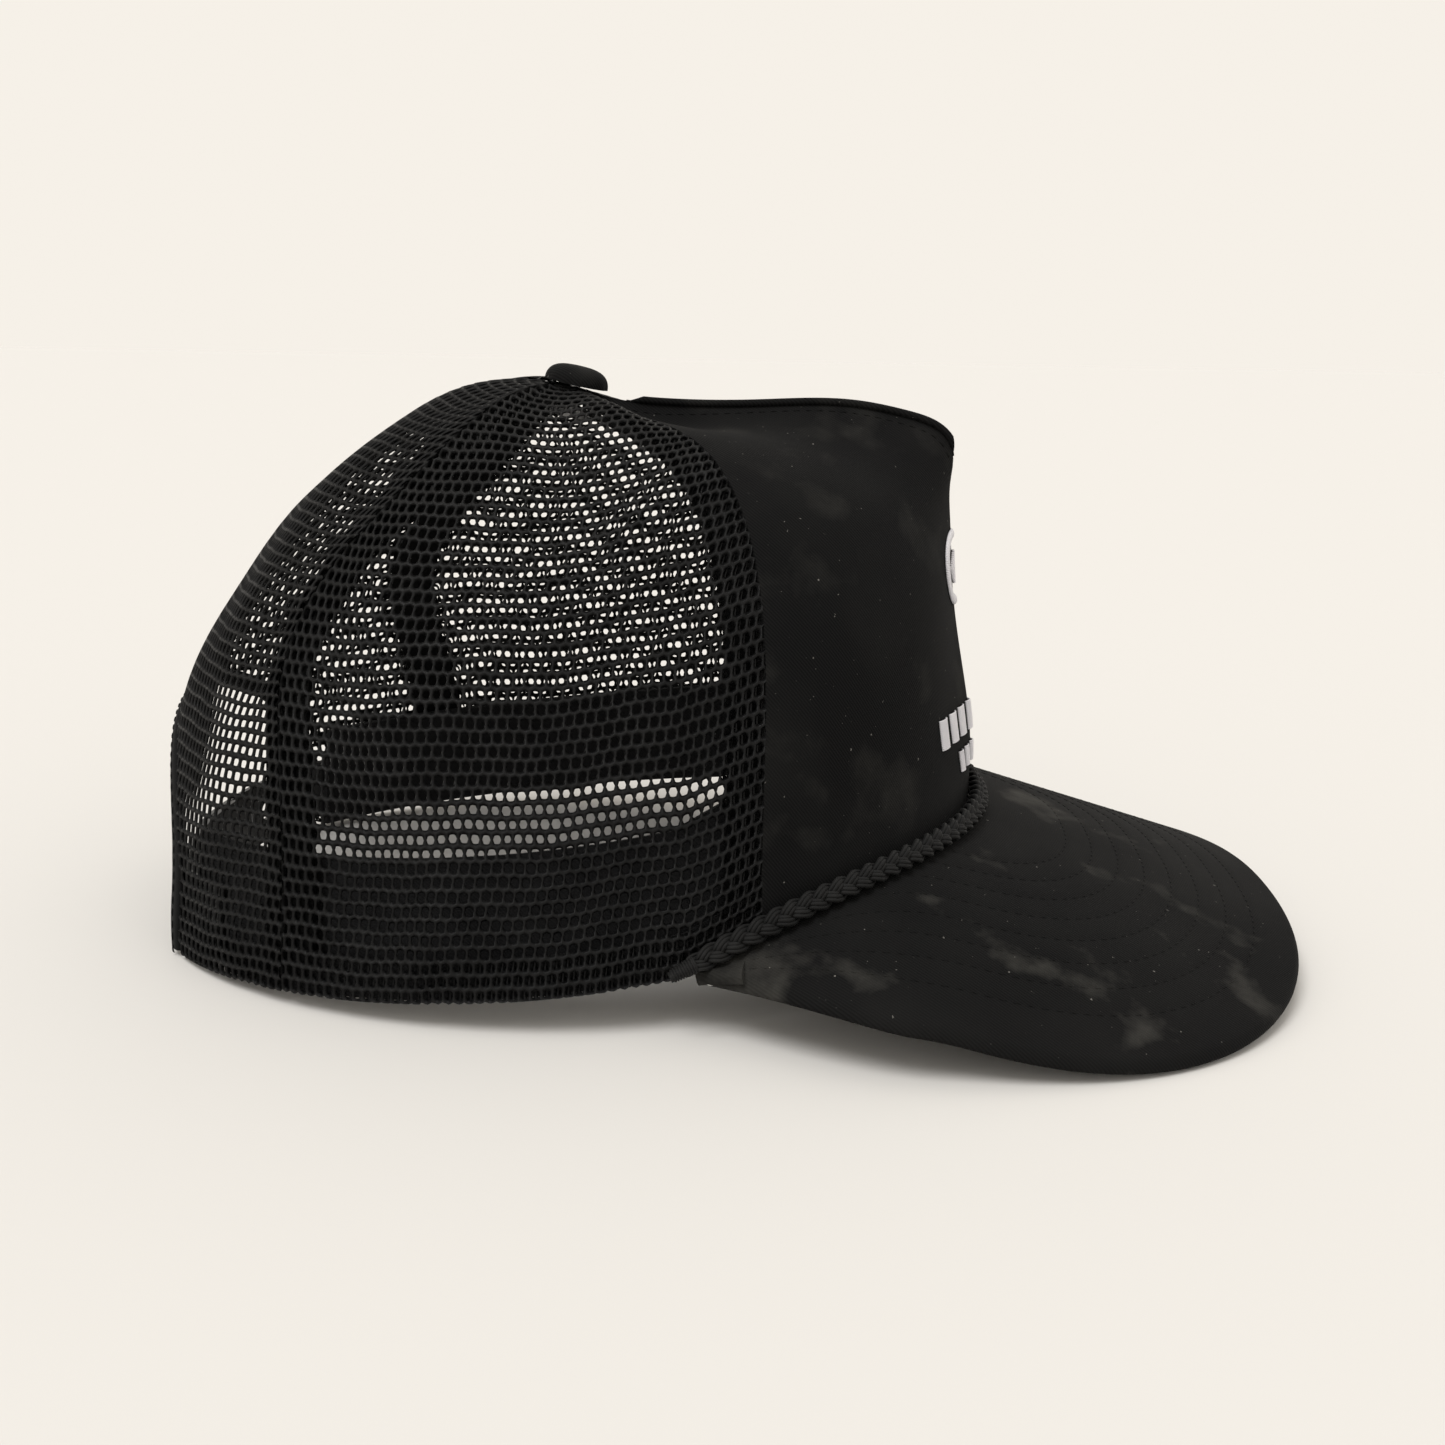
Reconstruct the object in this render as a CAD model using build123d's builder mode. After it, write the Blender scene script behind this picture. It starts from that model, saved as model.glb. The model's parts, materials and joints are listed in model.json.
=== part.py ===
from build123d import *
from math import asin, cos, exp, hypot, pi, radians, sin, sqrt, tan
import os

# Trucker cap, five crown panels, standing on a table: +X points to the visor's tip,
# +Y to the wearer's left, +Z up. The origin is on the table, under the middle of the
# cap's box. Lengths are in millimetres and angles in degrees.
#
# Any point of the crown is found from an azimuth round the head oval (0 at the front,
# 90 at the left, 180 at the back) and a fraction down the crown (0 at the button,
# 1 at the rim). Depth is measured inwards from the crown's outer surface.

# ---- head oval and crown ------------------------------------------------------------
crown_x = -41.3             # middle of the head oval
oval_front = 100.5          # half lengths of the oval, forwards and backwards
oval_back = 102.5
oval_side = 81.5            # half width of the oval
button_x = crown_x + 1.0
crown_height = 129.1
rim_back = 0.0              # height of the rim at the back, where the cap stands
rim_rise = 2.2              # how late the rim climbs towards the visor's corners
squareness = {"front": 3.5, "side": 1.86, "back": 1.94}
bulge = {"front": -6.1, "side": -2.0, "back": 0.9}
button_lean = 0.20          # forward slope of the cloth under the button
lean_spread = 24.0
front_drop = 8.9            # how much lower the front panel lies, beside its ridge
drop_start = 14.0           # distance from the button over which it sinks
ridge_width = 11.0          # azimuth over which the pinched ridge dies away
ridge_line = [              # the ridge in the middle plane, from the crown's middle: x, z
    (1.0, 129.1), (11.0, 126.2), (24.0, 124.8), (46.0, 124.9), (68.0, 125.3), (81.0, 123.1),
    (90.6, 118.6), (92.3, 115.5), (92.2, 108.0), (92.6, 99.6), (94.0, 83.6), (97.5, 63.6),
    (100.2, 47.6), (100.5, 29.45)]

# ---- panels, measured by azimuth ----------------------------------------------------
front_seam = 57.0
rear_seam = 121.0
seam_gap = 0.2              # half the gap between two neighbouring panels
panel_top = 0.035           # how far down the crown the panels start, under the button
cloth = 1.0                 # thickness of the front panel's twill
mesh = 1.3
backing_outer = 1.5         # depth of the stiff backing's two faces
backing_inner = 2.9
tape_outer = 3.3
tape_thickness = 0.7
tape_width = 12.0
sweatband_outer = 4.2
sweatband_thickness = 1.3
sweatband_low = 0.6         # heights above the rim
sweatband_high = 30.0
sweatband_end = 143.5       # azimuth where the sweatband stops, beside the rear opening

# ---- visor --------------------------------------------------------------------------
visor_corner = 68.0         # azimuth of the visor's two corners
visor_root_z = 29.45        # height of its middle surface where it meets the crown
visor_pitch = 15.8          # downward slope along its middle line
visor_length = 79.0
visor_half_width = 94.5
visor_widest = -11.9        # where it is widest, measured along its slope from the root
visor_squareness = 2.7
visor_taper = 1.57
arch_reach = 90.0
arch_round = 0.17           # the arch across the visor: a round part, a steeper part ...
arch_steep = 0.045
arch_curl = 0.278           # ... and the curl of its corners round the temples
curl_reach = 60.0
visor_gap = 0.5             # between the crown's outer surface and the visor
visor_layers = {"top_cover": (1.6, 0.95), "board": (0.8, -0.8), "under_cover": (-0.95, -1.6)}
board_inset = 1.2

# ---- rope, laid along the visor's joint ----------------------------------------------
rope_radius = 2.5
rope_half = [               # half its route, from the crown's middle, front to corner: x, y, z
    (103.0, 11.0, 33.4), (97.3, 29.5, 33.3), (88.0, 45.2, 32.7), (76.0, 57.8, 30.6),
    (62.4, 67.6, 27.0), (48.4, 74.8, 21.3), (38.2, 78.6, 16.3)]
rope_tuck = 4.0             # length of the stitched taper at each end
rope_tuck_radius = 1.3

# ---- rear opening and snap strap ----------------------------------------------------
arch_half_width = 44.5
arch_height = 52.0
binding_width = 4.0
binding_outer = -0.5
binding_inner = 1.9
strap_pivot_y = 43.0
strap_radius = 120.0        # of the two straps' curve, seen from above
strap_thickness = 1.2
strap_gap = 0.3             # between the two snapped straps
strap_low = 2.6
strap_high = 19.6
strap_pitch = 8.5
first_hole_y = -6.5
first_peg_y = 10.5
studs = 6                   # holes in one strap, and pegs on the other
strap_tip = 6.5             # from the last hole or peg to the strap's end
hole_radius = 2.5
peg_radius = 1.6
peg_head_radius = 1.8
peg_head = 0.6
peg_proud = 0.9             # how far a peg stands out of the strap it is snapped into
pivot_depth = 2.8           # depth of the pivots under the crown's outer surface
root_outer = 2.2
root_azimuths = (134.5, 145.3)

# ---- button -------------------------------------------------------------------------
button_radius = 7.5
button_dome = 4.2
button_cloth = 0.7
button_metal = 0.4
button_lift = 0.5           # above the cloth
button_tilt = 12.0
button_ahead = 2.0          # of the crown's axis
prong_radius = 1.2
washer_radius = 8.5
washer_drop = 6.4
washer_thickness = 0.8

# ---- ridge welt and embroidery --------------------------------------------------------
welt_outer = -1.7
welt_inner = -0.4
welt_half_width = 0.9
welt_ends = (0.08, 0.53)    # fractions down the crown
thread_outer = -1.2
thread_inner = -0.6
bar_rows = [                # height on the cap, bar height, bar width, count, pitch
    (52.0, 7.0, 4.6, 7, 7.0), (43.0, 5.0, 3.2, 5, 5.4)]
ring_z = 88.0
ring_radius = 9.0
ring_width = 2.2
diamond = 4.2               # half height of the diamond in the ring


def oval(azimuth):
    """Rim point seen from above, from the middle of the oval."""
    a = radians(azimuth)
    length = oval_front if cos(a) > 0 else oval_back
    return length * cos(a), oval_side * sin(a)


def visor_drop(s, y):
    """How far the visor's middle surface lies under its middle line's plane."""
    t = abs(y) / arch_reach
    curl = arch_curl * (max(0.0, -s) / curl_reach) ** 2 * (t + 1e-6) ** 0.276
    return arch_reach * (arch_round * t**2 + arch_steep * t**4 + curl)


visor_along = Vector(cos(radians(visor_pitch)), 0, -sin(radians(visor_pitch)))
visor_up = Vector(sin(radians(visor_pitch)), 0, cos(radians(visor_pitch)))
visor_root = Vector(crown_x + oval_front, 0, visor_root_z)


def visor_point(s, y, height=0.0):
    """Point at s along the visor's slope and y across it, at a height over its middle."""
    return visor_root + visor_along * s + Vector(0, y, 0) + visor_up * (height - visor_drop(s, y))


def joint(azimuth, gap=0.0):
    """Where the visor meets the crown: s and y on the visor's surface."""
    x, y = oval(azimuth)
    size = hypot(x, y)
    x, y = x * (1 + gap / size), y * (1 + gap / size)
    s = 0.0
    for _ in range(12):
        s = (x - oval_front + visor_drop(s, y) * visor_up.X) / visor_along.X
    return s, y


def rim_height(azimuth):
    """Height of the crown's lower edge."""
    a = abs((azimuth + 180) % 360 - 180)
    corner = visor_point(*joint(visor_corner)).Z
    if a >= visor_corner:
        return rim_back + (corner - rim_back) * ((180 - a) / (180 - visor_corner)) ** rim_rise
    return visor_point(*joint(a)).Z


with BuildLine() as ridge_builder:
    ridge = Spline(*[(x + crown_x, 0, z) for x, z in ridge_line])


def by_side(azimuth, values):
    """Blend a front, a side and a back value round the oval."""
    c = cos(radians(azimuth))
    front, back = max(c, 0) ** 2, max(-c, 0) ** 2
    return values["front"] * front + values["back"] * back + values["side"] * (1 - front - back)


def plain_meridian(azimuth, g):
    """Share of the way out from the button and height, without the pinched ridge."""
    n = by_side(azimuth, squareness)
    a = g * pi / 2
    k = (abs(sin(a)) ** n + abs(cos(a)) ** n) ** (-1 / n)
    out = sin(a) * k * (1 + by_side(azimuth, bulge) / 90 * sin(pi * g**3))
    rim = rim_height(azimuth)
    x, y = oval(azimuth)
    dx, dy = (x + crown_x - button_x) * out, y * out
    from_button = dx**2 + dy**2
    lean = button_lean * dx * exp(-from_button / (2 * lean_spread**2))
    forward = max(cos(radians(azimuth)), 0)
    drop = front_drop * forward**3 * (1 - exp(-from_button / drop_start**2))
    return out, rim + (crown_height - rim - drop) * cos(a) * k - lean


def meridian(azimuth, g):
    """Distance from the button's axis and height, on the crown's outer surface."""
    out, z = plain_meridian(azimuth, g)
    weight = exp(-abs((azimuth + 180) % 360 - 180) / ridge_width)
    if weight > 0.001:
        front_out, front_z = plain_meridian(0, g)
        top = ridge @ g
        out += weight * ((top.X - button_x) / (crown_x + oval_front - button_x) - front_out)
        z += weight * (top.Z - front_z)
    x, y = oval(azimuth)
    return out * hypot(x + crown_x - button_x, y), z


def meridian_at_depth(azimuth, g, depth):
    """The same, moved inwards by a depth."""
    step = 0.004
    r0, z0 = meridian(azimuth, max(g - step, 0))
    r1, z1 = meridian(azimuth, min(g + step, 1))
    size = hypot(r1 - r0, z1 - z0)
    r, z = meridian(azimuth, g)
    return r + depth * (z1 - z0) / size, z - depth * (r1 - r0) / size


def fraction_at(azimuth, above_rim):
    """How far down the crown a height above the rim is found."""
    low, high = 0.3, 1.0
    for _ in range(24):
        middle = (low + high) / 2
        if meridian(azimuth, middle)[1] - rim_height(azimuth) > above_rim:
            low = middle
        else:
            high = middle
    return high


def meridian_plane(azimuth):
    x, y = oval(azimuth)
    return Plane((button_x, 0, 0), (x + crown_x - button_x, y, 0), (y, button_x - crown_x - x, 0))


def crown_section(azimuth, top, bottom, outer, inner):
    """Cut face of a crown layer on one meridian, between two fractions and two depths."""
    steps = 8
    fractions = [top + (bottom - top) * i / steps for i in range(steps + 1)]
    with BuildSketch(meridian_plane(azimuth)) as section:
        with BuildLine():
            outside = Spline(*[meridian_at_depth(azimuth, g, outer) for g in fractions])
            inside = Spline(*[meridian_at_depth(azimuth, g, inner) for g in fractions])
            Line(outside @ 0, inside @ 0)
            Line(outside @ 1, inside @ 1)
        make_face()
    return section.sketch


def spread(start, end, count):
    return [start + (end - start) * i / (count - 1) for i in range(count)]


def crown_layer(azimuths, outer, inner, top=panel_top, bottom=1.0):
    """Loft of a crown layer over some azimuths, between two fractions down the crown."""
    return loft([crown_section(a, top, bottom, outer, inner) for a in azimuths])


def rim_layer(azimuths, outer, inner, low, high):
    """Loft of a layer near the rim, between two heights above the rim."""
    return loft([crown_section(a, fraction_at(a, high), fraction_at(a, low), outer, inner) for a in azimuths])


def save(part_builder, name):
    part_builder.part.label = name
    export_step(part_builder.part, f"parts/{name}.step")


os.makedirs("parts", exist_ok=True)

# ---- front panel, its backing and the welt on its ridge -----------------------------
half_front = [0, 3, 7, 13, 22, 34, 46]
with BuildPart() as front_panel:
    for side in (-1, 1):
        crown_layer([side * a for a in half_front + [front_seam - seam_gap]], 0, cloth)
save(front_panel, "front_panel")

with BuildPart() as front_backing:
    for side in (-1, 1):
        crown_layer([side * a for a in half_front + [front_seam - seam_gap]], backing_outer, backing_inner)
save(front_backing, "front_backing")

# ---- mesh panels ---------------------------------------------------------------------
def arch_outline(grow):
    """Outline of the rear opening, seen from behind, on the plane across the cap."""
    width, height = arch_half_width + grow, arch_height + grow
    straight = 14.0
    with BuildSketch(Plane.YZ.offset(-150)) as outline:
        with BuildLine():
            top = Spline((-width, straight), (0, height), (width, straight),
                         tangents=[(0.12, 1), (0.12, -1)])
            Polyline(top @ 1, (width, -5), (-width, -5), top @ 0)
        make_face()
    return outline.sketch


for side, word in ((-1, "right"), (1, "left")):
    with BuildPart() as side_mesh:
        crown_layer([side * a for a in spread(front_seam + seam_gap, rear_seam - seam_gap, 8)], 0.0, mesh)
    save(side_mesh, f"mesh_side_{word}")
    with BuildPart() as back_mesh:
        crown_layer([side * a for a in spread(rear_seam + seam_gap, 180 - seam_gap, 7)], 0.0, mesh)
        extrude(arch_outline(binding_width + 0.1), amount=90, mode=Mode.SUBTRACT)
    save(back_mesh, f"mesh_back_{word}")

with BuildPart() as arch_binding:
    crown_layer(spread(135, 225, 13), binding_outer, binding_inner, top=0.35)
    extrude(arch_outline(binding_width), amount=90, mode=Mode.INTERSECT)
    extrude(arch_outline(0), amount=90, mode=Mode.SUBTRACT)
save(arch_binding, "arch_binding")

# ---- tapes over the seams, inside ----------------------------------------------------
def seam_strip(azimuth):
    """Upright slab along a seam's meridian, as wide as the tape."""
    with BuildSketch(meridian_plane(azimuth)) as strip:
        with Locations((60, 70)):
            Rectangle(118, 160)
    return strip.sketch


tape_gap = 0.1              # between the mesh and the tape behind it
taped_seams = [("front_right", -front_seam, tape_outer), ("front_left", front_seam, tape_outer),
               ("rear_right", -rear_seam, mesh + tape_gap), ("rear_left", rear_seam, mesh + tape_gap)]
for word, azimuth, outer in taped_seams:
    with BuildPart() as tape:
        crown_layer([azimuth + a for a in (-14, -7, 0, 7, 14)], outer, outer + tape_thickness,
                    top=0.08, bottom=0.985)
        extrude(seam_strip(azimuth), amount=tape_width / 2, both=True, mode=Mode.INTERSECT)
    save(tape, f"tape_{word}")

with BuildPart() as tape_back:
    crown_layer([180 + a for a in (-14, -7, 0, 7, 14)], mesh + tape_gap, mesh + tape_gap + tape_thickness,
                top=0.08, bottom=0.85)
    extrude(seam_strip(180), amount=tape_width / 2, both=True, mode=Mode.INTERSECT)
    extrude(arch_outline(binding_width + 0.1), amount=90, mode=Mode.SUBTRACT)
save(tape_back, "tape_back")

# ---- sweatband -------------------------------------------------------------------------
with BuildPart() as sweatband:
    rim_layer(spread(-sweatband_end, sweatband_end, 27), sweatband_outer,
              sweatband_outer + sweatband_thickness, sweatband_low, sweatband_high)
save(sweatband, "sweatband")

# ---- visor -----------------------------------------------------------------------------
def visor_edge(share, inset=0.0):
    """Outline of the visor from its tip, share 0, by its widest place to a corner, share 1."""
    t = abs(share)
    side = -1 if share < 0 else 1
    reach = visor_length - visor_widest - inset
    width = visor_half_width - inset
    widest_share = 0.62
    if t <= widest_share:
        b = t / widest_share * pi / 2
        m = visor_squareness
        k = (abs(cos(b)) ** m + abs(sin(b)) ** m) ** (-1 / m)
        return visor_widest + reach * cos(b) * k, side * width * sin(b) * k
    v = (t - widest_share) / (1 - widest_share)
    corner_s, corner_y = joint(visor_corner, visor_gap)
    return visor_widest + (corner_s - visor_widest) * v, side * (width - (width - corner_y) * v**visor_taper)


def visor_section(share, outer, inner, inset=0.0):
    """Cut face of a visor layer along one line that fans out from the crown."""
    s0, y0 = joint(visor_corner * share, visor_gap + inset)
    s1, y1 = visor_edge(share, inset)
    size = hypot(s1 - s0, y1 - y0)
    ds, dy = (s1 - s0) / size, (y1 - y0) / size
    across = visor_along * ds + Vector(0, dy, 0)
    foot = visor_root + visor_along * s0 + Vector(0, y0, 0)
    lengths = [size * i / 5 for i in range(6)]
    drops = [visor_drop(s0 + ds * d, y0 + dy * d) for d in lengths]
    with BuildSketch(Plane(foot, across, across.cross(visor_up))) as section:
        with BuildLine():
            top = Spline(*[(d, outer - drop) for d, drop in zip(lengths, drops)])
            bottom = Spline(*[(d, inner - drop) for d, drop in zip(lengths, drops)])
            Line(top @ 0, bottom @ 0)
            Line(top @ 1, bottom @ 1)
        make_face()
    return section.sketch


fan = [0, 0.12, 0.24, 0.36, 0.46, 0.55, 0.62, 0.7, 0.79, 0.88, 0.95, 0.985]
fan = [-share for share in fan[:0:-1]] + fan
for layer, (outer, inner) in visor_layers.items():
    inset = board_inset if layer == "board" else 0.0
    with BuildPart() as visor_layer:
        loft([visor_section(share, outer, inner, inset) for share in fan])
    save(visor_layer, f"visor_{layer}")

# ---- rope and its stitched ends ----------------------------------------------------------
rope_route = [Vector(x + crown_x, -y, z) for x, y, z in reversed(rope_half)]
rope_route += [Vector(x + crown_x, y, z) for x, y, z in rope_half]
runs = [b - a for a, b in zip(rope_route, rope_route[1:])]
turns = [radians(a.get_angle(b)) for a, b in zip(runs, runs[1:])]
bends = [0.45 * min(a.length, b.length) / tan(turn / 2) for a, b, turn in zip(runs, runs[1:], turns)]
print("rope bend radii", [round(r) for r in bends])

with BuildPart() as rope:
    with BuildLine() as rope_path:
        rope_line = FilletPolyline(*rope_route, radius=bends)
    with BuildSketch(Plane(rope_line @ 0, z_dir=rope_line % 0)):
        Circle(rope_radius)
    sweep()
print("rope length", round(rope_line.length, 1))
print("volume against section", round(rope.part.volume / (pi * rope_radius**2 * rope_line.length), 4))
save(rope, "rope")

for at, sign, word in ((0, -1, "right"), (1, 1, "left")):
    outward = (rope_line % at) * sign
    with BuildPart() as rope_end:
        with BuildSketch(Plane(rope_line @ at, z_dir=outward)):
            Circle(rope_radius)
        with BuildSketch(Plane((rope_line @ at) + outward * rope_tuck, z_dir=outward)):
            Circle(rope_tuck_radius)
        loft()
    save(rope_end, f"rope_end_{word}")

# ---- snap strap --------------------------------------------------------------------------
pivot_x = crown_x - (oval_back - pivot_depth) * sqrt(1 - (strap_pivot_y / (oval_side - pivot_depth)) ** 2)
arc_x = pivot_x + sqrt(strap_radius**2 - strap_pivot_y**2)
strap_middle = (strap_low + strap_high) / 2
strap_height = strap_high - strap_low


def strap_plan(radius, y):
    """Point of a strap's curve from above, where it crosses a distance y from the middle."""
    return arc_x - sqrt(radius**2 - y**2), y


def strap_band(radius, pivot_side, tip_y):
    """Curved band with a round end at its pivot and at its tip. The pivot is at mid thickness."""
    middle = radius + strap_thickness / 2
    start = pivot_side * strap_pivot_y
    with BuildSketch(Plane.XY.offset(strap_low)) as plan:
        with BuildLine():
            inside = ThreePointArc(*[strap_plan(radius, y) for y in (start, (start + tip_y) / 2, tip_y)])
            outside = ThreePointArc(*[strap_plan(radius + strap_thickness, y)
                                      for y in (start, (start + tip_y) / 2, tip_y)])
            Line(inside @ 0, outside @ 0)
            Line(inside @ 1, outside @ 1)
        make_face()
        with Locations(strap_plan(middle, start)):
            Circle(strap_thickness / 2)
    extrude(plan.sketch, amount=strap_height)
    with BuildSketch(Plane.YZ.offset(arc_x - strap_radius - 10)) as outline:
        with Locations((pivot_side * 30, strap_middle)):
            Rectangle(2 * abs(tip_y - pivot_side * 30) - strap_height, strap_height)
        with Locations((tip_y + pivot_side * strap_height / 2, strap_middle)):
            Circle(strap_height / 2)
    extrude(outline.sketch, amount=60, mode=Mode.INTERSECT)


def stud_plane(y, radius):
    """Plane on a strap's curve, facing backwards out of the cap."""
    angle = asin(y / strap_radius)
    out = Vector(-cos(angle), sin(angle), 0)
    return Plane(Vector(arc_x, 0, strap_middle) + out * radius, x_dir=(0, 0, 1), z_dir=out)


with BuildPart() as strap_holes:
    strap_band(strap_radius, 1, first_hole_y - strap_tip)
    for i in range(studs):
        with BuildSketch(stud_plane(first_hole_y + i * strap_pitch, strap_radius)):
            Circle(hole_radius)
        extrude(amount=3, both=True, mode=Mode.SUBTRACT)
save(strap_holes, "strap_holes")

inner_strap_radius = strap_radius - strap_gap - strap_thickness
peg_foot = 0.6              # of each peg's length stands inside its strap
peg_length = peg_foot + strap_gap + strap_thickness + peg_proud
with BuildPart() as strap_pegs:
    strap_band(inner_strap_radius, -1, first_peg_y + strap_tip)
    for i in range(studs):
        face = stud_plane(first_peg_y - i * strap_pitch, strap_radius - strap_gap - peg_foot)
        with BuildSketch(face):
            Circle(peg_radius)
        extrude(amount=peg_length)
        with BuildSketch(face.offset(peg_length - peg_head)):
            Circle(peg_head_radius)
        extrude(amount=peg_head)
save(strap_pegs, "strap_pegs")

for side, word in ((-1, "right"), (1, "left")):
    with BuildPart() as strap_root:
        rim_layer([side * a for a in spread(*root_azimuths, 4)], root_outer, root_outer + strap_thickness,
                  strap_low, strap_high)
    save(strap_root, f"strap_root_{word}")

print("holes pivot", strap_plan(strap_radius + strap_thickness / 2, strap_pivot_y))
print("pegs pivot", strap_plan(inner_strap_radius + strap_thickness / 2, -strap_pivot_y))

# ---- button ------------------------------------------------------------------------------
lean = radians(button_tilt)
button_axis = Vector(sin(lean), 0, cos(lean))
button_foot = Vector(button_x + button_ahead, 0, crown_height - button_ahead * button_lean)
button_plane = Plane(button_foot + button_axis * button_lift, (cos(lean), 0, -sin(lean)), button_axis)
button_profile = Plane(button_plane.origin, button_plane.x_dir, -button_plane.y_dir)


def dome(radius, height, mode=Mode.ADD):
    """Round domed body on the button's plane."""
    with BuildSketch(button_profile) as half:
        with BuildLine():
            side = Line((radius, 0), (radius, height * 0.2))
            crest = Spline(side @ 1, (radius * 0.7, height * 0.84), (0, height), tangents=[(0, 1), (-1, 0)])
            Polyline(crest @ 1, (0, 0), side @ 0)
        make_face()
    revolve(half.sketch, axis=Axis(button_plane.origin, button_axis), mode=mode)


with BuildPart() as button_cover:
    dome(button_radius, button_dome)
    dome(button_radius - button_cloth, button_dome - button_cloth, Mode.SUBTRACT)
save(button_cover, "button_cover")

shell_radius = button_radius - button_cloth - 0.05
shell_dome = button_dome - button_cloth - 0.05
with BuildPart() as button_shell:
    dome(shell_radius, shell_dome)
    dome(shell_radius - button_metal, shell_dome - button_metal, Mode.SUBTRACT)
save(button_shell, "button_shell")

with BuildPart() as button_washer:
    with BuildSketch(button_plane.offset(-washer_drop - washer_thickness)):
        Circle(washer_radius)
        Circle(prong_radius + 0.1, mode=Mode.SUBTRACT)
    extrude(amount=washer_thickness)
save(button_washer, "button_washer")

prong_foot = -washer_drop - washer_thickness - 0.7
with BuildPart() as button_prong:
    with BuildSketch(button_plane.offset(prong_foot)):
        Circle(prong_radius * 2)
    extrude(amount=0.6)
    with BuildSketch(button_plane.offset(prong_foot)):
        Circle(prong_radius)
    extrude(amount=shell_dome - button_metal - 0.1 - prong_foot)
save(button_prong, "button_prong")

# ---- welt on the ridge, and the embroidery ------------------------------------------------
with BuildPart() as ridge_welt:
    extrude(crown_section(0, *welt_ends, welt_outer, welt_inner), amount=welt_half_width, both=True)
save(ridge_welt, "ridge_welt")

with BuildPart() as emblem:
    for side in (-1, 1):
        crown_layer([side * a for a in half_front[:6]], thread_outer, thread_inner, top=0.45, bottom=0.97)
    with BuildSketch(Plane.YZ):
        for z, height, width, count, pitch in bar_rows:
            with Locations((0, z)):
                with GridLocations(pitch, 1, count, 1):
                    Rectangle(width, height)
        with Locations((0, ring_z)):
            Circle(ring_radius)
            Circle(ring_radius - ring_width, mode=Mode.SUBTRACT)
            RegularPolygon(diamond, 4)
    extrude(amount=90, mode=Mode.INTERSECT)
save(emblem, "emblem")
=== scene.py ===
import bmesh
import bpy
import json
import numpy as np
from math import ceil, cos, pi, radians, sin
from mathutils import Matrix, Vector
from mathutils.bvhtree import BVHTree
from mathutils.kdtree import KDTree


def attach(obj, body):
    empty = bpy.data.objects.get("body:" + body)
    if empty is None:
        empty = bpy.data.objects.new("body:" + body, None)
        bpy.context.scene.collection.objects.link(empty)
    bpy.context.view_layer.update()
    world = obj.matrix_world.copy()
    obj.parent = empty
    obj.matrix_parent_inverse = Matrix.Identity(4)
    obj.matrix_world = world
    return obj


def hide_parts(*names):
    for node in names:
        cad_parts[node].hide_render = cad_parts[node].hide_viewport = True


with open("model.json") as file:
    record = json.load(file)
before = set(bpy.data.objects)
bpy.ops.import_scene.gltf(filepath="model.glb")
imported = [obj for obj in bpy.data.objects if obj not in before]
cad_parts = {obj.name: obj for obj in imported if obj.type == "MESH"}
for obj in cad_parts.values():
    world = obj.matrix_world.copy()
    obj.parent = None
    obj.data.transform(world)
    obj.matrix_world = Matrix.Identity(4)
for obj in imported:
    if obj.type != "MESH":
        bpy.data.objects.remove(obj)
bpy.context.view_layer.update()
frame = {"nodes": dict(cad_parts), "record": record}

# The looks of a trucker cap. Shapes are worked out in millimetres and stored in metres,
# with azimuths in degrees round the head (0 front, 90 left, 180 back) and a fraction
# down the crown (0 button, 1 rim). Depth is measured inwards from the crown's surface.
MM = 0.001
MOUNTS = {mount["name"]: mount for mount in frame["record"]["mounts"]}
CROWN_X = MOUNTS["head_opening"]["pos_m"][0] / MM
RANDOM = np.random.default_rng(7)

# ---- dimensions shared with the CAD model ----------------------------------------------
OVAL_FRONT, OVAL_BACK, OVAL_SIDE = 100.5, 102.5, 81.5
BUTTON_X = CROWN_X + 1.0
CROWN_HEIGHT = 129.1
RIM_BACK, RIM_RISE = 0.0, 2.2
SQUARENESS = (3.5, 1.86, 1.94)      # front, side, back
BULGE = (-6.1, -2.0, 0.9)
BUTTON_LEAN, LEAN_SPREAD = 0.20, 24.0
FRONT_DROP, DROP_START = 8.9, 14.0
RIDGE_WIDTH = 11.0
RIDGE_LINE = np.array([
    (1.0, 129.1), (11.0, 126.2), (24.0, 124.8), (46.0, 124.9), (68.0, 125.3), (81.0, 123.1),
    (90.6, 118.6), (92.3, 115.5), (92.2, 108.0), (92.6, 99.6), (94.0, 83.6), (97.5, 63.6),
    (100.2, 47.6), (100.5, 29.45)])
CLOTH = 1.0
BACKING = (1.5, 2.9)
TAPE_THICKNESS, TAPE_WIDTH = 0.7, 12.0
SWEATBAND = (4.2, 5.5)
SWEATBAND_HEIGHTS = (0.6, 30.0)
SWEATBAND_END = 143.5
VISOR_CORNER = 68.0
VISOR_ROOT_Z = 29.45
VISOR_PITCH = radians(15.8)
VISOR_LENGTH, VISOR_HALF_WIDTH = 79.0, 94.5
VISOR_WIDEST, VISOR_SQUARENESS, VISOR_TAPER = -11.9, 2.7, 1.57
WIDEST_SHARE = 0.62
ARCH_REACH, ARCH_ROUND, ARCH_STEEP = 90.0, 0.17, 0.045
ARCH_CURL, CURL_REACH, CURL_POWER = 0.278, 60.0, 0.276
VISOR_GAP = 0.5
VISOR_FACE, VISOR_LINING = 1.6, 0.95
ROPE_HALF = [
    (103.0, 11.0, 33.4), (97.3, 29.5, 33.3), (88.0, 45.2, 32.7), (76.0, 57.8, 30.6),
    (62.4, 67.6, 27.0), (48.4, 74.8, 21.3), (38.2, 78.6, 16.3)]
OPENING_HALF_WIDTH, OPENING_HEIGHT, OPENING_STRAIGHT = 44.5, 52.0, 14.0
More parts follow.
